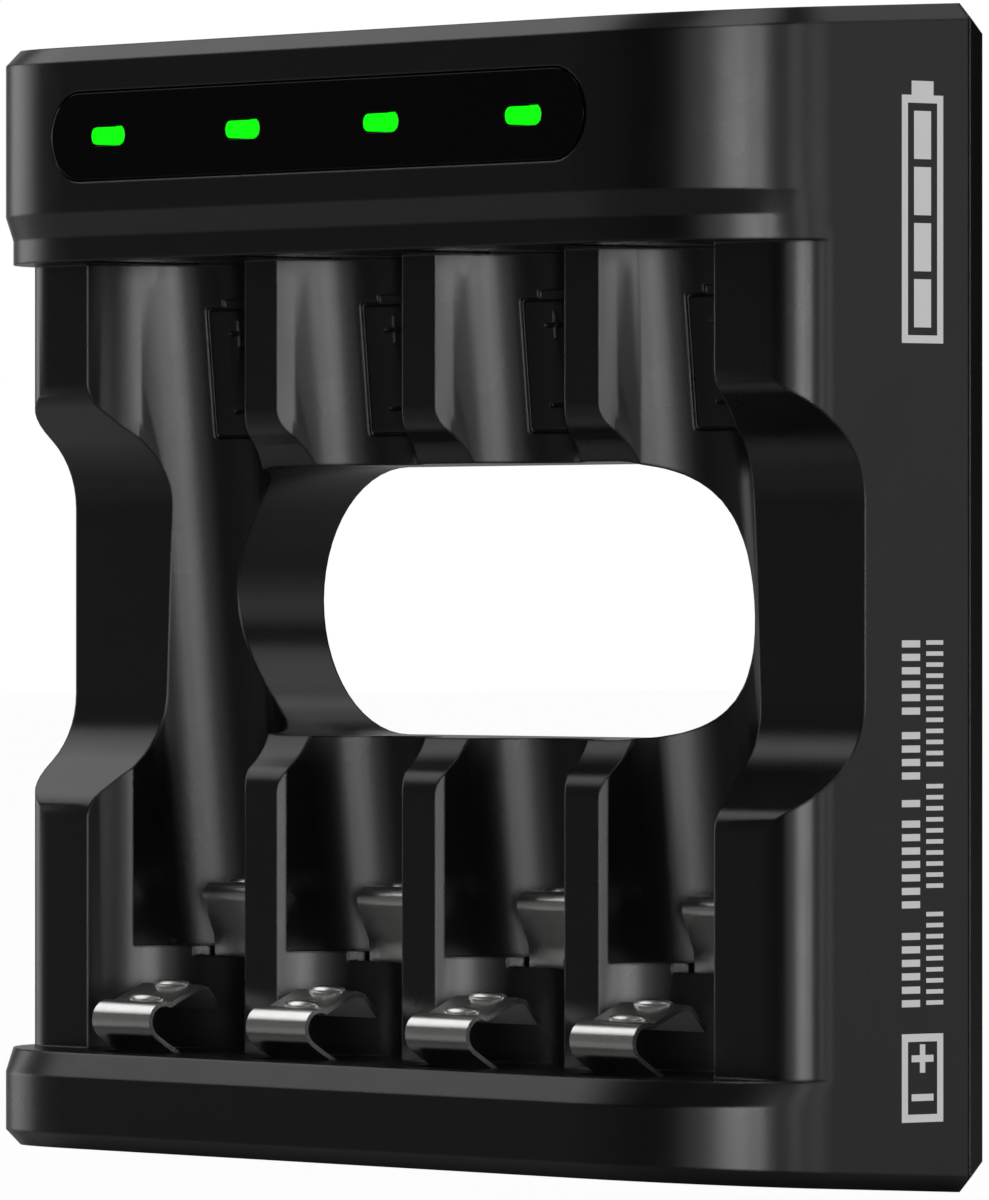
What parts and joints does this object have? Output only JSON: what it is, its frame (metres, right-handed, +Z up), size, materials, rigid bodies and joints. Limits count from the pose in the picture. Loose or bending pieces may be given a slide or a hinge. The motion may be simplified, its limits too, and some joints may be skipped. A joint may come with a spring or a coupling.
{
  "type": "aa battery charger",
  "caption": "Black upright charger for AA and AAA cells with side-by-side bays, sprung contacts, a through-hole and green status lamps.",
  "frame": {"origin": "centre of the footprint, at the level of the lowest edge of the lower end", "axes": "+X to the right along the row of bays seen from the front, -Y out of the open front of the bays, +Z up from the lower end to the lamp bar"},
  "size_m": [0.0808, 0.0228, 0.0756],
  "materials": {
    "black_plastic": "fine-textured moulded plastic",
    "window_gloss": "polished black lens",
    "lamp_green": "lit green",
    "circuit_board": "solder mask",
    "chip": "moulded epoxy",
    "bare_metal": "satin can",
    "nickel_plate": "bright nickel plate",
    "screw_steel": "zinc plate",
    "wire_sleeve": "soft sleeve"
  },
  "bodies": {
    "housing": {"front_housing": "black_plastic", "rear_cover": "black_plastic", "led_window": "window_gloss", "main_board": "circuit_board", "contact_board": "circuit_board", "charge_controller": "chip", "power_coil": "chip", "capacitor_1": "bare_metal", "capacitor_2": "bare_metal", "inlet_shell": "nickel_plate", "inlet_tongue": "chip", "link_wire_left": "wire_sleeve", "link_wire_right": "wire_sleeve", "status_lamp_1": "lamp_green", "case_screw_1": "screw_steel", "positive_contact_1": "nickel_plate", "status_lamp_2": "lamp_green", "case_screw_2": "screw_steel", "positive_contact_2": "nickel_plate", "status_lamp_3": "lamp_green", "case_screw_3": "screw_steel", "positive_contact_3": "nickel_plate", "status_lamp_4": "lamp_green", "case_screw_4": "screw_steel", "positive_contact_4": "nickel_plate"},
    "aa_spring_1": {"aa_spring_contact_1": "nickel_plate"},
    "aaa_spring_1": {"aaa_spring_contact_1": "nickel_plate"},
    "aa_spring_2": {"aa_spring_contact_2": "nickel_plate"},
    "aaa_spring_2": {"aaa_spring_contact_2": "nickel_plate"},
    "aa_spring_3": {"aa_spring_contact_3": "nickel_plate"},
    "aaa_spring_3": {"aaa_spring_contact_3": "nickel_plate"},
    "aa_spring_4": {"aa_spring_contact_4": "nickel_plate"},
    "aaa_spring_4": {"aaa_spring_contact_4": "nickel_plate"}
  },
  "joints": [
    {"name": "aa_spring_1_press", "type": "slide", "parent": "housing", "child": "aa_spring_1", "axis": [0, 0, 1], "range_m": [-0.0012, 0], "stiffness_N_per_m": 1500},
    {"name": "aaa_spring_1_press", "type": "slide", "parent": "housing", "child": "aaa_spring_1", "axis": [0, 0, 1], "range_m": [-0.002, 0], "stiffness_N_per_m": 900},
    {"name": "aa_spring_2_press", "type": "slide", "parent": "housing", "child": "aa_spring_2", "axis": [0, 0, 1], "range_m": [-0.0012, 0], "stiffness_N_per_m": 1500},
    {"name": "aaa_spring_2_press", "type": "slide", "parent": "housing", "child": "aaa_spring_2", "axis": [0, 0, 1], "range_m": [-0.002, 0], "stiffness_N_per_m": 900},
    {"name": "aa_spring_3_press", "type": "slide", "parent": "housing", "child": "aa_spring_3", "axis": [0, 0, 1], "range_m": [-0.0012, 0], "stiffness_N_per_m": 1500},
    {"name": "aaa_spring_3_press", "type": "slide", "parent": "housing", "child": "aaa_spring_3", "axis": [0, 0, 1], "range_m": [-0.002, 0], "stiffness_N_per_m": 900},
    {"name": "aa_spring_4_press", "type": "slide", "parent": "housing", "child": "aa_spring_4", "axis": [0, 0, 1], "range_m": [-0.0012, 0], "stiffness_N_per_m": 1500},
    {"name": "aaa_spring_4_press", "type": "slide", "parent": "housing", "child": "aaa_spring_4", "axis": [0, 0, 1], "range_m": [-0.002, 0], "stiffness_N_per_m": 900}
  ]
}
